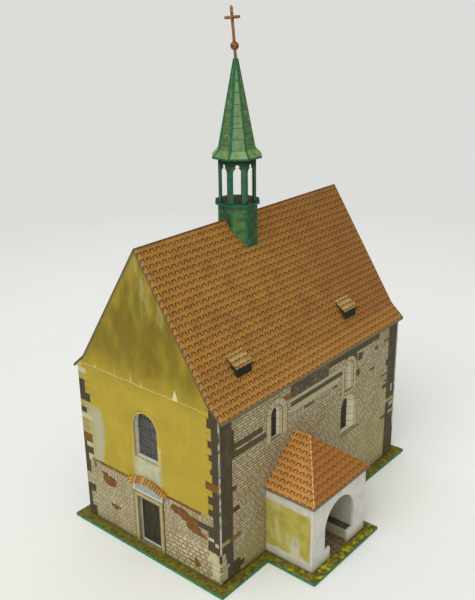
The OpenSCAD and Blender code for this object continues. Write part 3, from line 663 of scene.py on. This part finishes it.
def dormer(name, seed):
    """Tile-printed roof, dark front and grey-green cheeks."""
    paint = Paint(name, seed)
    paint.coat((0.26, 0.26, 0.17))
    paint.coat((0.17, 0.17, 0.11), paint.noise(1.0).rise(0.4, 0.6))
    front = abs(paint.face_y).above(0.8, 0.1)
    paint.coat((0.12, 0.11, 0.08), front)
    paint.coat((0.17, 0.16, 0.10), front * paint.noise(0.8).rise(0.45, 0.7))
    top = paint.face_z.above(0.5, 0.1)
    paint.coat((0.72, 0.58, 0.32), top)
    paint.coat((0.60, 0.52, 0.30), top * paint.noise(1.4).rise(0.45, 0.6))
    keep = paint.colour
    tile_print(paint, paint.x, abs(paint.y) * -1.1, 1.9, 1.7, reach=0.52)
    join(paint, top, keep, paint.colour)
    # Painted shade: the underside of the dormer roof is nearly black.
    paint.coat((0.10, 0.09, 0.06), paint.face_z.below(-0.3, 0.1))
    return paint.finish(rough=0.66)


# ---------------------------------------------------------------- smaller materials

def grass(name, seed):
    paint = Paint(name, seed)
    paint.coat((0.42, 0.40, 0.15))
    paint.coat((0.34, 0.29, 0.11), paint.noise(1.6, detail=4.0).rise(0.42, 0.6))
    paint.coat((0.52, 0.50, 0.16), paint.noise(1.0, detail=3.0).rise(0.52, 0.66) * 0.8)
    near_porch = paint.y.below(-36.0, 10.0)
    paint.coat((0.70, 0.70, 0.10), paint.noise(1.9, detail=3.0).rise(0.52, 0.66) * (near_porch * 0.8 + 0.12))
    wall_x = (abs(paint.x) - EAST_X).most(abs(paint.y) - SIDE_Y)
    porch_x = (abs(paint.x - PORCH_MIDDLE) - (PORCH_HIGH.x - PORCH_MIDDLE)).most(-paint.y + PORCH_LOW.y)
    # Painted shade: a dark band on the grass along the foot of the walls and of the porch.
    paint.coat((0.16, 0.13, 0.06), wall_x.least(porch_x).below(0.25, 0.9) * 0.75)
    paint.height = paint.height + paint.noise(0.6, detail=4.0) * 0.06
    paint.coat((0.20, 0.50, 0.36), abs(paint.face_z).below(0.5, 0.1))
    paint.coat((0.15, 0.40, 0.28), abs(paint.face_z).below(0.5, 0.1) * paint.noise(2.0).rise(0.4, 0.7))
    return paint.finish(rough=0.75)


def reveal(name, seed, tone, course, shade=0.0):
    """Card strip that lines a window, with printed joints."""
    paint = Paint(name, seed)
    paint.coat(tone)
    paint.coat([c * 0.88 for c in tone], paint.noise(2.0).rise(0.4, 0.7) * 0.7)
    if course:
        joint = paint.z.fold(course, 0.7).below(0.1, 0.1) * abs(paint.face_z).below(0.8, 0.1)
        paint.coat([c * 0.45 for c in tone], joint * 0.8)
    paint.coat([c * 0.5 for c in tone], paint.noise(1.2).rise(0.58, 0.75) * shade)
    return paint.finish()


def gable_pane(name, seed):
    """Leaded glass: two lights wide, with cross bars."""
    paint = Paint(name, seed)
    paint.coat((0.27, 0.26, 0.24))
    paint.coat((0.33, 0.33, 0.31), paint.noise(2.6).rise(0.4, 0.65))
    paint.coat((0.20, 0.19, 0.18), paint.noise(1.5).rise(0.5, 0.7) * 0.6)
    bars = abs(paint.y).below(0.14, 0.1).most(paint.z.fold(3.3, 33.2).below(0.13, 0.1))
    paint.coat((0.12, 0.11, 0.10), bars * 0.9)
    paint.height = paint.height + bars * 0.03
    return paint.finish(rough=0.5, gloss=0.4)


def dark_pane(name, seed):
    paint = Paint(name, seed)
    paint.coat((0.17, 0.14, 0.12))
    paint.coat((0.23, 0.19, 0.17), paint.noise(1.8).rise(0.4, 0.7))
    bars = paint.z.fold(2.4, 0.3).below(0.08, 0.08)
    paint.coat((0.13, 0.10, 0.11), bars * 0.6)
    return paint.finish(rough=0.55)


def door_leaf(name, seed):
    """Dark boarded door."""
    paint = Paint(name, seed)
    paint.coat((0.20, 0.19, 0.15))
    paint.coat((0.26, 0.24, 0.18), paint.noise(1.2, stretch=(1.0, 1.0, 5.0)).rise(0.4, 0.65))
    # Painted shade under the door head: darker towards the top.
    paint.coat((0.13, 0.13, 0.11), paint.z.above(16.6, 1.2) * 0.8)
    board = (paint.x + paint.y).fold(1.6).below(0.07, 0.08)
    paint.coat((0.10, 0.09, 0.07), board * 0.7)
    paint.height = paint.height - board * 0.02
    return paint.finish()


def surround(name, seed):
    paint = Paint(name, seed)
    paint.coat((0.60, 0.55, 0.35))
    paint.coat((0.53, 0.47, 0.28), paint.noise(2.2).rise(0.4, 0.7))
    high = span("west_door_surround")[1]
    rim = (abs(paint.y) * -1.0 + high.y).least(paint.z * -1.0 + high.z)
    paint.coat((0.70, 0.67, 0.52), rim.close(1.05, 0.28, 0.2) * 0.7)
    paint.coat((0.30, 0.25, 0.14), rim.below(0.16, 0.14) * 0.9)
    paint.coat((0.36, 0.31, 0.18), rim.close(1.75, 0.1, 0.14) * 0.7)
    # Painted shade along the foot of the surround.
    paint.coat((0.38, 0.33, 0.18), paint.z.below(GROUND + 1.2, 1.4) * 0.5)
    return paint.finish()


def pediment(name, seed):
    paint = Paint(name, seed)
    low, high = span("west_door_pediment")
    paint.coat((0.60, 0.63, 0.58))
    paint.coat((0.54, 0.57, 0.53), paint.noise(1.6).rise(0.4, 0.7))
    paint.coat((0.72, 0.73, 0.70), paint.z.below(low.z + 1.0, 0.2))
    paint.coat((0.42, 0.45, 0.44), paint.z.close(low.z + 1.05, 0.08, 0.1) * 0.8)
    side = abs(paint.y)
    paint.coat((0.76, 0.77, 0.73), side.above(high.y - 1.1, 0.1))
    paint.coat((0.38, 0.40, 0.38), side.close(high.y - 1.1, 0.1, 0.1) * 0.9)
    paint.coat((0.24, 0.23, 0.18), side.above(high.y - 0.16, 0.1) * 0.8)
    paint.coat((0.20, 0.20, 0.18), paint.z.below(low.z + 0.12, 0.1) * 0.9)
    return paint.finish()


def hood(name, seed):
    """Curved band of small tiles over the door."""
    paint = Paint(name, seed)
    low, high = span("west_door_hood")
    half = high.y
    rise = high.z - low.z
    paint.coat((0.72, 0.54, 0.26))
    tilt = paint.y + (paint.z - low.z) * 0.45
    tone, end = paint.cells(tilt / 1.2)
    paint.scale(tone * 0.5 + 0.7)
    paint.coat((0.84, 0.70, 0.45), paint.noise(0.7).rise(0.55, 0.7) * 0.7)
    paint.coat((0.34, 0.20, 0.08), (end * 1.2).below(0.16, 0.12) * 0.9)
    lip = (paint.z - low.z) + (paint.y * paint.y) * (rise / (half * half)) * 0.3
    paint.coat((0.40, 0.26, 0.14), lip.fold(1.1, 0.4).below(0.1, 0.14) * 0.6)
    return paint.finish()


def copper(name, seed, pitch, light, dark, shift=0.5):
    """Green sheet copper as printed card: panels, darker seams and a bright painted corner, with alternate
    facets in a lighter and a darker tone as painted light and shade.
    """
    paint = Paint(name, seed)
    corner, odd = turret_place(paint)
    # Painted light and shade: alternate facets take the lit and the shaded tone.
    paint.coat(dark)
    paint.coat(light, odd * 0.75)
    paint.coat([c * 1.12 for c in light], paint.noise(1.6).rise(0.5, 0.7) * 0.5)
    paint.coat([c * 0.72 for c in dark], paint.noise(2.2).rise(0.48, 0.7) * 0.6)
    if pitch:
        level = (paint.z - 123.5) / pitch + odd * -0.5 + shift
        line = (abs(level.fract() - 0.5) * -pitch + pitch / 2).below(0.12, 0.14)
        paint.coat((0.16, 0.24, 0.15), line * 0.75)
        paint.height = paint.height + line * 0.02
    paint.coat((0.11, 0.34, 0.22), corner.below(0.45, 0.25) * 0.9)
    paint.coat((0.14, 0.46, 0.33), corner.below(0.14, 0.12) * paint.noise(1.2).rise(0.35, 0.6))
    return paint


def lantern_card(name, seed):
    """Posts and arches: dark green outside; painted shade makes them nearly black inside and under the
    ceiling.
    """
    light = (0.27, 0.40, 0.29)
    paint = copper(name, seed, 0.0, light, (0.20, 0.32, 0.21))
    high = span("turret_lantern")[1]
    # Painted shade under the ceiling: a dark band at the top of the posts.
    paint.coat((0.10, 0.12, 0.09), paint.z.rise(high.z - 3.5, high.z - 1.0) * 0.85)
    # Painted shade on the inward faces of the posts.
    outward = (paint.x - TURRET_X) * paint.face_x + paint.y * paint.face_y
    paint.coat((0.07, 0.08, 0.06), outward.below(1.0, 1.0) * 0.9)
    return paint.finish(rough=0.6)


def plate_card(name, seed):
    """Gallery and ceiling plates: painted bright on the edge; painted shade makes them dark on top and
    beneath.
    """
    paint = copper(name, seed, 0.0, (0.12, 0.42, 0.30), (0.10, 0.35, 0.25))
    # Painted shade: the flat tops and undersides are dark.
    flat = abs(paint.face_z).above(0.6, 0.1)
    paint.coat((0.12, 0.16, 0.12), flat)
    paint.coat((0.20, 0.24, 0.17), flat * paint.noise(1.2).rise(0.45, 0.65) * 0.7)
    return paint.finish(rough=0.6)


def finial(name, seed):
    """Copper-coloured wire with solder-like lumps."""
    paint = Paint(name, seed)
    paint.coat((0.62, 0.40, 0.26))
    paint.coat((0.36, 0.21, 0.13), paint.noise(0.9, detail=3.0).rise(0.42, 0.62))
    paint.coat((0.86, 0.66, 0.48), paint.noise(0.5).rise(0.6, 0.75) * 0.7)
    paint.height = paint.noise(0.45, detail=3.0) * 0.12
    return paint.finish(rough=0.42, gloss=0.5, metal=0.75, rough_depth=0.25)


def porch_side(name, seed):
    """Yellow plaster panel with a pale wavy border and worn streaks."""
    paint = Paint(name, seed)
    depth = -paint.y
    up = paint.z
    paint.coat((0.78, 0.77, 0.71))
    paint.coat((0.70, 0.69, 0.60), paint.noise(3.0).rise(0.4, 0.7) * 0.6)
    wavy = (paint.noise(3.0) - 0.5) * 1.6
    panel = (up + wavy).below(20.8, 0.5) * (up + wavy * 1.5).above(4.4, 0.8)
    panel = panel * (depth + wavy * 0.3).below(47.2, 0.3)
    paint.coat((0.68, 0.64, 0.31), panel)
    paint.coat((0.62, 0.57, 0.23), panel * paint.noise(3.4).rise(0.45, 0.65) * 0.8)
    paint.coat((0.74, 0.72, 0.48), panel * paint.noise(2.6, stretch=(1.0, 1.0, 2.4)).rise(0.5, 0.68) * 0.7)
    streak = (depth + up * 0.14).close(36.0, 0.9, 1.4) * up.close(11.0, 5.0, 4.0)
    paint.coat((0.78, 0.74, 0.52), streak * 0.7)
    worn = (depth + wavy).close(41.3, 1.6, 1.2) * up.below(10.5, 3.0)
    paint.coat((0.76, 0.75, 0.64), worn * 0.85)
    paint.coat((0.60, 0.56, 0.44), (depth + wavy).close(41.5, 1.0, 1.2) * up.close(8.8, 1.0, 1.4) * 0.6)
    paint.coat((0.80, 0.79, 0.75), abs(paint.face_y).above(0.5, 0.1))
    foot_shade_and_tint(paint, 0.5)
    return paint.finish()


def porch_plain(name, seed, tone):
    """Whitewashed card, greener near the ground."""
    paint = Paint(name, seed)
    paint.coat(tone)
    paint.coat([c * 0.93 for c in tone], paint.noise(4.0).rise(0.4, 0.7))
    paint.coat([min(1.0, c * 1.05) for c in tone], paint.noise(2.2).rise(0.5, 0.75) * 0.6)
    paint.coat((0.62, 0.60, 0.42), paint.z.below(GROUND + 2.2, 3.0) * 0.4)
    foot_shade_and_tint(paint, 0.45)
    return paint.finish()


def bench(name, seed):
    """Dark seat and pale front."""
    paint = Paint(name, seed)
    paint.coat((0.66, 0.64, 0.54))
    paint.coat((0.58, 0.55, 0.44), paint.noise(2.0).rise(0.4, 0.7))
    low = span("porch_bench_east")[0]
    # Painted shade where the bench meets the floor: darker towards the bottom.
    paint.coat((0.32, 0.27, 0.18), paint.z.below(low.z + 0.8, 0.8) * 0.7)
    top = paint.face_z.above(0.5, 0.1)
    paint.coat((0.31, 0.27, 0.20), top)
    paint.coat((0.38, 0.33, 0.25), top * paint.noise(1.4).rise(0.45, 0.7))
    return paint.finish()


def paving(name, seed):
    """Brown paving with pale joints."""
    paint = Paint(name, seed)
    paint.coat((0.40, 0.33, 0.23))
    paint.coat((0.46, 0.36, 0.30), paint.noise(2.0).rise(0.45, 0.65))
    tone = paint.chance((paint.x / 1.7).floor() + (paint.y / 2.0).floor() * 17.0)
    paint.scale(tone * 0.3 + 0.85)
    joints = paint.x.fold(1.7).below(0.1, 0.12).most(paint.y.fold(2.0).below(0.1, 0.12))
    paint.coat((0.66, 0.60, 0.48), joints * paint.noise(1.2).rise(0.3, 0.6) * 0.8)
    paint.height = paint.height - joints * 0.02
    return paint.finish()


def dress_all():
    dress(grass("grass_card", 1.0), "base_card")
    dress(gable("gable_card_west", 2.0, True), "west_gable_wall")
    dress(gable("gable_card_east", 52.0, False), "east_gable_wall")
    dress(long_wall("stone_card_south", 3.0, True), "south_wall")
    dress(long_wall("stone_card_north", 63.0, False), "north_wall")
    dress(roof("roof_card", 4.0), "nave_roof_south", "nave_roof_north")
    dress(reveal("reveal_card_gable", 5.0, (0.86, 0.85, 0.80), 0.0), "west_window_reveal",
          "east_window_reveal")
    dress(reveal("reveal_card_stone", 6.0, (0.82, 0.79, 0.66), 2.8), "south_west_slit_reveal",
          "south_east_slit_reveal", "south_low_window_reveal", "north_west_slit_reveal",
          "north_east_slit_reveal")
    dress(reveal("reveal_card_door", 7.0, (0.84, 0.83, 0.79), 0.0), "west_door_reveal")
    dress(gable_pane("pane_card_gable", 8.0), "west_window_pane", "east_window_pane")
    dress(dark_pane("pane_card_dark", 9.0), "south_window_panes", "north_window_panes")
    dress(surround("surround_card", 10.0), "west_door_surround")
    dress(pediment("pediment_card", 11.0), "west_door_pediment")
    dress(hood("hood_card", 12.0), "west_door_hood")
    dress(door_leaf("door_card", 13.0), "west_door_leaf", "porch_door")
    dress(dormer("dormer_card", 14.0), "dormer_south_west", "dormer_south_east",
          "dormer_north_west", "dormer_north_east")
    light = (0.46, 0.57, 0.39)
    dark = (0.31, 0.42, 0.25)
    dress(copper("copper_card_spire", 15.0, 3.43, light, dark).finish(rough=0.6), "spire")
    drum = copper("copper_card_drum", 16.0, 3.6, (0.33, 0.47, 0.27), (0.19, 0.30, 0.18))
    dress(drum.finish(rough=0.6), "turret_drum")
    dress(lantern_card("copper_card_lantern", 17.0), "turret_lantern")
    dress(plate_card("copper_card_plates", 18.0),
          "turret_gallery", "lantern_ceiling")
    skirt = copper("copper_card_skirt", 19.0, 0.0, (0.53, 0.63, 0.42), (0.42, 0.52, 0.30))
    dress(skirt.finish(rough=0.6), "spire_skirt")
    dress(finial("finial_metal", 20.0), "finial_stem", "finial_ball", "finial_cross")
    dress(porch_side("porch_card_side", 21.0), "porch_west_wall", "porch_east_wall")
    dress(porch_plain("porch_card_front", 22.0, (0.80, 0.79, 0.75)), "porch_front_wall")
    dress(porch_plain("porch_card_vault", 23.0, (0.66, 0.66, 0.60)), "porch_vault")
    dress(bench("bench_card", 24.0), "porch_bench_west", "porch_bench_east")
    dress(paving("floor_card", 25.0), "porch_floor")
    dress(porch_roof("porch_roof_card", 26.0), "porch_roof")


# ---------------------------------------------------------------- stage, light and camera

FLOOR_SIZE = 20.0
FLOOR_TONE = (0.945, 0.948, 0.93)
BACKDROP_TONE = (0.86, 0.862, 0.85)
SKY_LIGHT = 0.69
SUN_TOWARDS = Vector((-0.72, -0.16, 0.68))
SUN_LEVEL = 0.47
SUN_SOFTNESS = math.radians(55.0)


def make_floor():
    half = FLOOR_SIZE / 2
    mesh = bpy.data.meshes.new("floor")
    corners = [(-half, -half, 0.0), (half, -half, 0.0), (half, half, 0.0), (-half, half, 0.0)]
    mesh.from_pydata(corners, [], [(0, 1, 2, 3)])
    floor = bpy.data.objects.new("floor", mesh)
    bpy.context.scene.collection.objects.link(floor)
    paint = Paint("studio_floor", 40.0)
    paint.coat(FLOOR_TONE)
    # Painted shade: the floor darkens with distance into the backdrop tone, standing in for the light
    # falling off.
    behind = length_of(paint.x, paint.y).rise(90.0, 400.0)
    paint.coat(BACKDROP_TONE, behind)
    paint.mottle(60.0, 0.01)
    mesh.materials.append(paint.finish(rough=0.9, gloss=0.1))


def make_light():
    world = bpy.data.worlds.new("studio")
    world.use_nodes = True
    tree = world.node_tree
    tree.nodes.clear()
    path = tree.nodes.new("ShaderNodeLightPath")
    seen = tree.nodes.new("ShaderNodeMath")
    seen.operation = "MAXIMUM"
    tree.links.new(path.outputs["Is Camera Ray"], seen.inputs[0])
    tree.links.new(path.outputs["Is Glossy Ray"], seen.inputs[1])
    mix = tree.nodes.new("ShaderNodeMixShader")
    light = tree.nodes.new("ShaderNodeBackground")
    light.inputs["Color"].default_value = (1.0, 1.0, 1.0, 1.0)
    light.inputs["Strength"].default_value = SKY_LIGHT
    backdrop = tree.nodes.new("ShaderNodeBackground")
    backdrop.inputs["Color"].default_value = srgb(BACKDROP_TONE)
    out = tree.nodes.new("ShaderNodeOutputWorld")
    tree.links.new(seen.outputs[0], mix.inputs[0])
    tree.links.new(light.outputs[0], mix.inputs[1])
    tree.links.new(backdrop.outputs[0], mix.inputs[2])
    tree.links.new(mix.outputs[0], out.inputs[0])
    bpy.context.scene.world = world
    lamp = bpy.data.lights.new("key", "SUN")
    lamp.energy = math.pi * SUN_LEVEL
    lamp.angle = SUN_SOFTNESS
    key = bpy.data.objects.new("key", lamp)
    key.rotation_mode = "QUATERNION"
    key.rotation_quaternion = SUN_TOWARDS.to_track_quat("Z", "Y")
    bpy.context.scene.collection.objects.link(key)


CAMERA_PLACE = Vector((-198.3, -163.7, 170.1)) / MM
CAMERA_AZIMUTH = math.radians(-49.80)
CAMERA_ELEVATION = math.radians(20.99)
CAMERA_ROLL = math.radians(-0.71)
CAMERA_LENS = 48.95
SHIFT_X = -0.003
SHIFT_Y = 0.0006


def make_camera():
    level = math.cos(CAMERA_ELEVATION)
    ahead = math.cos(CAMERA_AZIMUTH) * level
    back = Vector((math.sin(CAMERA_AZIMUTH) * level, -ahead, math.sin(CAMERA_ELEVATION)))
    right = (-back).cross(Vector((0.0, 0.0, 1.0))).normalized()
    up = right.cross(-back)
    rolled_right = right * math.cos(CAMERA_ROLL) + up * math.sin(CAMERA_ROLL)
    rolled_up = up * math.cos(CAMERA_ROLL) - right * math.sin(CAMERA_ROLL)
    data = bpy.data.cameras.new("camera")
    data.lens = CAMERA_LENS
    data.shift_x = SHIFT_X
    data.shift_y = SHIFT_Y
    data.clip_start = 0.01
    data.clip_end = 50.0
    camera = bpy.data.objects.new("camera", data)
    turn = Matrix((rolled_right, rolled_up, back)).transposed().to_4x4()
    camera.matrix_world = Matrix.Translation(CAMERA_PLACE) @ turn
    bpy.context.scene.collection.objects.link(camera)
    bpy.context.scene.camera = camera


dress_all()
make_floor()
make_light()
make_camera()
bpy.context.scene.view_settings.view_transform = "Standard"
